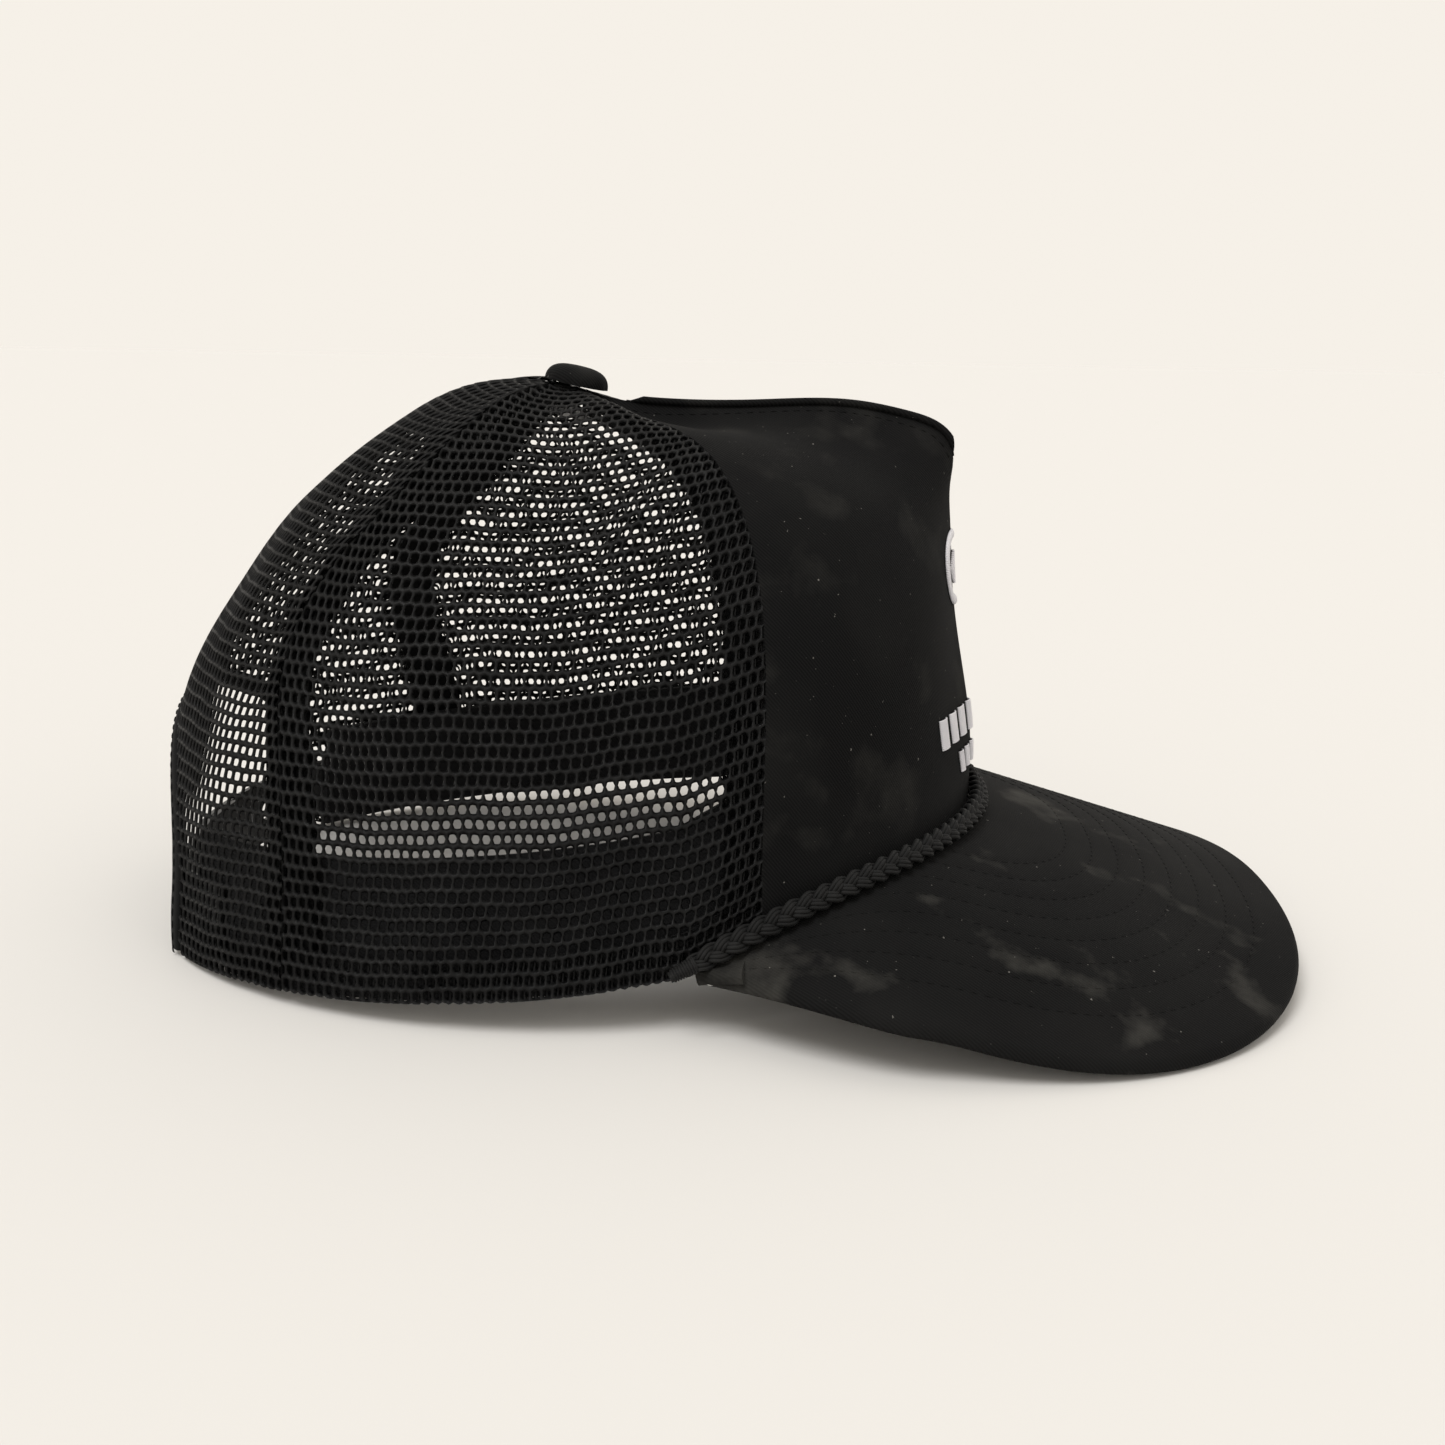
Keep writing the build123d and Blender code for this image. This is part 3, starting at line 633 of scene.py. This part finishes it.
def net_panel(name, side, low, high, node, phase):
    """One net panel, with its edges doubled beside the seams and along the rim."""
    seams = (lambda g: side * low(g)), (lambda g: side * high(g))

    def solid_here(u, v, width, g):
        share = 0.5 + u / width
        azimuth = seams[0](g) + (seams[1](g) - seams[0](g)) * share
        point = crown(azimuth, g)
        return not (point[0] < CROWN_X and abs(point[1]) < opening_half_width(point[2], BINDING_WIDTH * 0.5))

    def doubled_here(u, v, width, g):
        return (width / 2 - abs(u) < SEAM_BAND or v < SEAM_BAND) and solid_here(u, v, width, g)

    panel = Shape()
    net(panel, *seams, solid_here, phase)
    net(panel, *seams, doubled_here, phase + 0.4, NET_THICKNESS + 0.15, shift=1)
    panel.make(name, NET, "mesh", [node], crease=0)


for side, word in ((-1, "right"), (1, "left")):
    net_panel(f"net_side_{word}", side, front_seam, rear_seam, f"mesh_side_{word}", 0.6 + side)
    net_panel(f"net_back_{word}", side, rear_seam, lambda g: np.full_like(np.asarray(g, float), 180.0),
              f"mesh_back_{word}", 2.1 + side)


# ---- seam tapes ------------------------------------------------------------------------------------
def tape_along(seam, outer, bottom):
    """Tape behind a seam, as wide as it is woven all the way down."""
    def surface(u, v, depth):
        x, y = oval(seam(v))
        reach = np.hypot(x, y) * np.sin(np.clip(v, 0.05, 1) * pi / 2)
        return crown(seam(v) + np.degrees((u - 0.5) * TAPE_WIDTH / reach), v, depth)

    tape = Shape()
    shell(tape, surface, np.linspace(0, 1, 9), np.linspace(0.09, bottom, 70), outer, outer + TAPE_THICKNESS)
    return tape


for side, word in ((-1, "right"), (1, "left")):
    tape_along(lambda g: side * front_seam(g), 3.3, 0.985).make(
        f"seam_tape_front_{word}", TAPE, "tape", [f"tape_front_{word}"])
    tape_along(lambda g: side * rear_seam(g), 1.95, 0.985).make(
        f"seam_tape_rear_{word}", TAPE, "tape", [f"tape_rear_{word}"])
tape_along(lambda g: np.full_like(np.asarray(g, float), 180.0), 1.95, 0.68).make(
    "seam_tape_back", TAPE, "tape", ["tape_back"])


# ---- sweatband ---------------------------------------------------------------------------------------
def band_surface(u, v, depth):
    azimuth = (2 * u - 1) * SWEATBAND_END
    height = SWEATBAND_HEIGHTS[0] + (SWEATBAND_HEIGHTS[1] - SWEATBAND_HEIGHTS[0]) * v
    pucker = 0.18 * np.sin(np.radians(azimuth) * 58) * np.sin(pi * v)
    return crown(azimuth, fraction_at(azimuth, height), depth + pucker)


band = Shape()
shell(band, band_surface, np.linspace(0, 1, 361), np.linspace(0, 1, 14), *SWEATBAND)


def flange_surface(u, v, depth):
    azimuth = (2 * u - 1) * FLANGE_END
    return crown(azimuth, fraction_at(azimuth, FLANGE_FOOT + FLANGE_HEIGHT * v), depth)


shell(band, flange_surface, np.linspace(0, 1, 261), np.linspace(0, 1, 8), *FLANGE)
shares = np.linspace(0.01, 0.99, 500)
for height in (0.08, 0.93):
    inside = band_surface(shares, np.full(500, height), SWEATBAND[1])
    outward = unit(inside - band_surface(shares, np.full(500, height), SWEATBAND[0]))
    stitches(band, inside, outward)
band.make("sweatband_cloth", BRUSHED, "sweatband", ["sweatband"])


# ---- rear opening's binding --------------------------------------------------------------------------
turn = np.linspace(0, pi, 120)
arch = np.stack([-(OPENING_HALF_WIDTH + BINDING_WIDTH / 2) * np.cos(turn),
                 OPENING_STRAIGHT + (OPENING_HEIGHT + BINDING_WIDTH / 2 - OPENING_STRAIGHT) * np.sin(turn)], -1)
legs = np.linspace(1.6, OPENING_STRAIGHT, 12)[:-1]
half_arch = OPENING_HALF_WIDTH + BINDING_WIDTH / 2
outline = np.concatenate([[(-half_arch, z) for z in legs], arch, [(half_arch, z) for z in legs[::-1]]])
path, normals = on_crown(outline, 1)
path, normals = even(path, normals, 1.2)
binding = Shape()
sweep(binding, path - normals * 0.7, normals, rounded(BINDING_WIDTH / 2 + 0.2, 1.15, 16, 3.2))
stitches(binding, path + normals * 0.42, normals)
binding.make("opening_binding", TAPE, "tape", ["arch_binding"])


# ---- visor ---------------------------------------------------------------------------------------------
def visor_edge(share, inset=0.0):
    """Outline of the visor from its tip, share 0, to a corner, share 1 or -1."""
    t, side = np.abs(share), np.where(share < 0, -1.0, 1.0)
    reach, width = VISOR_LENGTH - VISOR_WIDEST - inset, VISOR_HALF_WIDTH - inset
    b = np.minimum(t, WIDEST_SHARE) / WIDEST_SHARE * pi / 2
    m = VISOR_SQUARENESS
    cosine, sine = np.abs(np.cos(b)) + 1e-9, np.abs(np.sin(b)) + 1e-9
    k = (cosine**m + sine**m) ** (-1 / m)
    beyond = np.clip((t - WIDEST_SHARE) / (1 - WIDEST_SHARE), 0, 1)
    corner_s, corner_y = joint(np.array(VISOR_CORNER), VISOR_GAP)
    s = np.where(t <= WIDEST_SHARE, VISOR_WIDEST + reach * cosine * k,
                 VISOR_WIDEST + (corner_s - VISOR_WIDEST) * beyond)
    y = np.where(t <= WIDEST_SHARE, width * sine * k, width - (width - corner_y) * beyond**VISOR_TAPER)
    return s, side * y


def stitch_path(inset, face):
    """One row of the visor's stitching, clear of the crown, and its normals."""
    share = np.linspace(-0.97, 0.97, 700)
    s, y = visor_edge(share, inset)
    x, _ = oval(np.degrees(np.arcsin(np.clip(y / OVAL_SIDE, -0.999, 0.999))))
    root = (x - OVAL_FRONT) / VISOR_ALONG[0]
    clear = (s > root + 7.0) | (np.abs(y) > OVAL_SIDE * 0.985)
    clear &= s > -52
    centre = visor_point(s[clear], y[clear], face)
    ahead, aside = visor_point(s[clear] + 0.5, y[clear], face), visor_point(s[clear], y[clear] + 0.5, face)
    return centre, unit(np.cross(ahead - centre, aside - centre)) * (1 if face > 0 else -1)


GROOVES = KDTree(STITCH_ROWS * 700)
for row in range(STITCH_ROWS):
    for place in stitch_path(STITCH_INSET + row * STITCH_PITCH, 0.0)[0]:
        GROOVES.insert(Vector(place), row)
GROOVES.balance()

from_edge = np.concatenate([[0, 0.08, 0.2, 0.4, 0.65, 0.95, 1.3, 1.7, 2.4], np.linspace(3.2, 100, 120)])


def visor_cover(side):
    """Upper or under cloth, rolled round the board's edge and drawn in along the stitching."""
    share = np.linspace(-0.985, 0.985, 221)[:, None]
    s0, y0 = joint(VISOR_CORNER * share, VISOR_GAP)
    s1, y1 = visor_edge(share)
    size = np.hypot(s1 - s0, y1 - y0)
    steps = from_edge / from_edge[-1]
    near = from_edge < 3
    inwards = np.where(near, np.minimum(from_edge, size * 0.4), 0)
    rest = np.clip((steps - steps[near][-1]) / (1 - steps[near][-1]), 0, 1)
    turned_in = np.minimum(2.4, size * 0.4)
    inwards = np.where(near, inwards, turned_in + (size - turned_in) * rest)
    s, y = s1 + (s0 - s1) * inwards / size, y1 + (y0 - y1) * inwards / size
    roll = np.clip(inwards / VISOR_FACE, 0, 1)
    lining_roll = np.clip((inwards - 0.65) / VISOR_LINING, 0, 1)
    centre = visor_point(s, y)
    dip = np.array([GROOVES.find(Vector(p))[2] for p in centre.reshape(-1, 3)]).reshape(s.shape)
    groove = GROOVE_DEPTH * np.exp(-((dip / GROOVE_SPREAD) ** 2))
    outer = visor_point(s, y, side * (VISOR_FACE * np.sqrt(1 - (1 - roll) ** 2) - groove * (roll > 0.99)))
    inner = visor_point(s, y, side * VISOR_LINING * np.sqrt(1 - (1 - lining_roll) ** 2) * 0.98)
    cover = Shape()
    u, v = np.linspace(0, 1, s.shape[0]), np.linspace(0, 1, s.shape[1])
    layers = iter((outer, inner))
    shell(cover, lambda u, v, depth: next(layers), u, v, 0, 1)
    for row in range(STITCH_ROWS):
        stitches(cover, *stitch_path(STITCH_INSET + row * STITCH_PITCH, side * (VISOR_FACE - 0.3)))
    return cover


# a wrap of the visor's cloth closes each corner, where both covers run out
for side in (-1, 1):
    wrap = Shape()
    shares = np.linspace(0.9, 0.988, WRAP_RINGS) * side
    s1, y1 = visor_edge(shares)
    s0, y0 = joint(VISOR_CORNER * shares, VISOR_GAP)
    halfway = visor_point((s0 + s1) / 2, (y0 + y1) / 2)
    across = np.linalg.norm(visor_point(s1, y1) - visor_point(s0, y0), axis=1) / 2
    ups = np.tile(VISOR_UP, (WRAP_RINGS, 1))
    along = unit(np.gradient(halfway, axis=0))
    aside = unit(np.cross(along, ups))
    profile = rounded(1.0, VISOR_FACE + 0.08, WRAP_ROUND, 3.0)
    rings = (halfway[:, None] + aside[:, None] * (profile[None, :, :1] * (across + 0.2)[:, None, None])
             + np.cross(aside, along)[:, None] * profile[None, :, 1:])
    index = np.arange(WRAP_RINGS * WRAP_ROUND).reshape(WRAP_RINGS, WRAP_ROUND)
    turned = np.roll(index, -1, axis=1)
    wrap.add(rings, np.stack([index[:-1], turned[:-1], turned[1:], index[1:]], -1).reshape(-1, 4))
    wrap.faces += [list(index[0][::-1]), list(index[-1])]
    wrap.make(f"visor_corner_wrap_{'right' if side < 0 else 'left'}", VISOR_TWILL, "twill")
visor_cover(1).make("visor_top_cloth", VISOR_TWILL, "twill", ["visor_top_cover"])
visor_cover(-1).make("visor_under_cloth", VISOR_TWILL, "twill", ["visor_under_cover"])


# ---- rope ----------------------------------------------------------------------------------------------
route = [(x + CROWN_X, -y, z) for x, y, z in reversed(ROPE_HALF)]
route += [(x + CROWN_X, y, z) for x, y, z in ROPE_HALF]
guide = bpy.data.curves.new("rope_guide", "CURVE")
guide.dimensions = "3D"
guide.resolution_u = 24
spline = guide.splines.new("NURBS")
spline.points.add(len(route) - 1)
for point, place in zip(spline.points, route):
    point.co = (*place, 1)
spline.order_u = 3
spline.use_endpoint_u = True
guide_object = bpy.data.objects.new("rope_guide", guide)
bpy.context.scene.collection.objects.link(guide_object)
line_mesh = bpy.data.meshes.new_from_object(guide_object)
line = np.array([vertex.co for vertex in line_mesh.vertices])
bpy.data.objects.remove(guide_object)
bpy.data.meshes.remove(line_mesh)

line, _ = even(line, line, 0.4)
along = unit(np.gradient(line, axis=0))
rope_ups = unit(line - [BUTTON_X, 0, 0]) * [1, 1, 0] + [0, 0, 0.75]
rope_across = unit(np.cross(along, rope_ups))
rope_out = np.cross(rope_across, along)
reach = np.concatenate([[0], np.cumsum(np.linalg.norm(np.diff(line, axis=0), axis=1))])
close = np.clip(np.minimum(reach, reach[-1] - reach) / 6, 0, 1) ** 0.5
rope = Shape()
for strand in range(3):
    turn = 2 * pi * (reach / ROPE_REPEAT + strand / 3)
    side_way = STRAND_SWAY * np.sin(turn) * (0.6 + 0.4 * close)
    rise = STRAND_RISE * np.sin(2 * turn)
    middle = line + rope_across * side_way[:, None] + rope_out * rise[:, None]
    strand_along = unit(np.gradient(middle, axis=0))
    beside = unit(np.cross(strand_along, rope_out))
    for offset, height in YARN_OFFSETS:
        yarn_line = middle + beside * offset + rope_out * height
        sweep(rope, yarn_line, rope_out, rounded(YARN_HALF_WIDTH, YARN_HALF_HEIGHT, 8), 0.65 + 0.35 * close)
rope_piece = rope.make("plaited_rope", CORD, "rope", ["rope"], crease=0)

for end, inward, word in ((line[0], along[0], "right"), (line[-1], -along[-1], "left")):
    tuck = Shape()
    steps = np.linspace(-5.0, 1.0, 14)
    path = end + inward * steps[:, None]
    ups = np.tile([0, 0, 1.0], (len(steps), 1))
    sweep(tuck, path, ups, rounded(1.7, 1.5, 14), np.linspace(0.72, 1.12, len(steps)))
    for at in np.linspace(-4.2, 0.4, 9):
        loop = np.arange(25) / 24 * 2 * pi
        aside = unit(np.cross(inward, [0, 0, 1.0]))
        above = np.cross(aside, inward)
        grow = 1.72 * (0.72 + 0.4 * (at + 5) / 6)
        wrap = (end + inward * at + aside * (np.cos(loop) * grow)[:, None]
                + above * (np.sin(loop) * grow * 0.9)[:, None])
        sweep(tuck, wrap, np.tile(inward, (25, 1)), rounded(0.22, 0.22, 6))
    tuck.make(f"rope_tuck_{word}", CORD, "rope", [f"rope_end_{word}"], crease=0)


# ---- button ----------------------------------------------------------------------------------------------
axis = np.array([sin(BUTTON_TILT), 0, cos(BUTTON_TILT)])
button_foot = np.array([BUTTON_X + BUTTON_AHEAD, 0, CROWN_HEIGHT - BUTTON_AHEAD * BUTTON_LEAN])
button_foot = button_foot + axis * BUTTON_LIFT
side_x, side_y = np.array([cos(BUTTON_TILT), 0, -sin(BUTTON_TILT)]), np.array([0, 1.0, 0])


def button_surface(u, v, depth):
    around = u * 2 * pi * 0.9999
    rise = v * pi / 2 * 0.999
    pleat = 0.1 * np.cos(around * 14) * np.exp(-((v / 0.22) ** 2))
    radius = (BUTTON_RADIUS - depth + pleat) * np.cos(rise) ** 0.62
    height = (BUTTON_DOME - depth) * np.sin(rise) ** 0.85
    return (button_foot + side_x * (radius * np.cos(around))[..., None]
            + side_y * (radius * np.sin(around))[..., None] + axis * height[..., None])


button = Shape()
shell(button, button_surface, np.linspace(0, 1, 97), np.linspace(0, 1, 30), 0.0, 0.65)
button.make("button_cloth", FRONT_TWILL, "twill", ["button_cover"])

# ---- welt on the ridge -------------------------------------------------------------------------------------
fractions = np.linspace(*WELT_SHARES, WELT_POINTS)
middle_line = np.zeros(WELT_POINTS)
ridge = crown(middle_line, fractions)
ridge_out = unit(crown(middle_line, fractions, -1.0) - ridge)
welt = Shape()
from_start = np.arange(WELT_POINTS)
ends = np.clip(np.minimum(from_start, from_start[::-1]) / 8, 0.25, 1)
sweep(welt, ridge + ridge_out * (0.85 * ends - 0.2)[:, None], ridge_out, rounded(0.9, 0.85, 12, 2.4), ends)
for y in (-WELT_STITCH_OFFSET, WELT_STITCH_OFFSET):
    beside = crown(np.degrees(np.arctan2(y, ridge[:, 0] - BUTTON_X)), fractions)
    stitches(welt, beside[6:-4], ridge_out[6:-4], length=1.9, pitch=2.7, width=0.32, proud=0.04)
welt.make("ridge_piping", FRONT_TWILL, "twill", ["ridge_welt"])

# ---- embroidery: a plain ring, a diamond and bars, in satin stitch -------------------------------------------
threads = []
for z, height, width, count, pitch in BAR_ROWS:
    for i in range(count):
        y = (i - (count - 1) / 2) * pitch
        for level in np.arange(-height / 2, height / 2 + 0.01, SATIN):
            threads.append(((y - width / 2, z + level), (y + width / 2, z + level)))
for angle in np.linspace(0, 2 * pi, int(2 * pi * RING_RADIUS / SATIN), endpoint=False):
    inner_radius = RING_RADIUS - RING_WIDTH
    threads.append(((inner_radius * cos(angle), RING_Z + inner_radius * sin(angle)),
                    (RING_RADIUS * cos(angle), RING_Z + RING_RADIUS * sin(angle))))
for level in np.arange(-DIAMOND + 0.4, DIAMOND - 0.3, SATIN):
    half = DIAMOND - abs(level)
    threads.append(((-half, RING_Z + level), (half, RING_Z + level)))
embroidery = Shape()
arc = np.linspace(0, 1, 7)
for (y0, z0), (y1, z1) in threads:
    span = np.stack([y0 + (y1 - y0) * arc, z0 + (z1 - z0) * arc], -1)
    path, normals = on_crown(span, -1)
    if len(path) == len(arc):
        lift = 0.15 + 0.55 * np.sin(pi * arc) ** 0.5
        sweep(embroidery, path + normals * lift[:, None], normals, rounded(0.23, 0.2, 6))
embroidery.make("satin_embroidery", WHITE, "thread", ["emblem"], crease=0)


# ---- floor, light and camera ---------------------------------------------------------------------------------
PALE = (0.922, 0.876, 0.807)
SUNS = 0.60                         # what both lamps give level ground, over pi
floor_mesh = bpy.data.meshes.new("floor")
floor_mesh.from_pydata([(-6, -6, 0), (6, -6, 0), (6, 6, 0), (-6, 6, 0)], [], [(0, 1, 2, 3)])
floor = bpy.data.objects.new("floor", floor_mesh)
bpy.context.scene.collection.objects.link(floor)
pale = Finish("pale_floor", 0.9, specular=0.1)
pale.shader.inputs["Base Color"].default_value = (*[tone / (tone + SUNS) for tone in PALE], 1)
floor_mesh.materials.append(pale.material)

world = bpy.data.worlds.new("studio")
world.use_nodes = True
bpy.context.scene.view_settings.view_transform = "Standard"
world.node_tree.nodes["Background"].inputs["Color"].default_value = (*PALE, 1)
world.node_tree.nodes["Background"].inputs["Strength"].default_value = 1.0
bpy.context.scene.world = world

for name, towards, strength, softness in (("key", (-0.35, -0.45, 1.0), 2.0, 30),
                                          ("fill", (0.7, -0.7, 0.6), 0.3, 60)):
    lamp = bpy.data.lights.new(name, "SUN")
    lamp.energy = strength
    lamp.angle = radians(softness)
    light = bpy.data.objects.new(name, lamp)
    light.rotation_euler = Vector(towards).to_track_quat("Z", "Y").to_euler()
    bpy.context.scene.collection.objects.link(light)

AZIMUTH, ELEVATION, ROLL = radians(3.40), radians(14.57), radians(0.951)
DISTANCE, LENS, SENSOR = 0.382, 38.27, 36.0
TARGET = Vector(((CROWN_X + 39.1) * MM, 0, 0.0475))
back = Vector((sin(AZIMUTH) * cos(ELEVATION), -cos(AZIMUTH) * cos(ELEVATION), sin(ELEVATION)))
level = Vector((cos(AZIMUTH), sin(AZIMUTH), 0))
upright = back.cross(level)
right = level * cos(ROLL) + upright * sin(ROLL)
up = upright * cos(ROLL) - level * sin(ROLL)
camera_data = bpy.data.cameras.new("camera")
camera_data.lens = LENS
camera_data.sensor_width = SENSOR
camera = bpy.data.objects.new("camera", camera_data)
facing = Matrix((right, up, back)).transposed().to_4x4()
camera.matrix_world = Matrix.Translation(TARGET + back * DISTANCE) @ facing
bpy.context.scene.collection.objects.link(camera)
bpy.context.scene.camera = camera
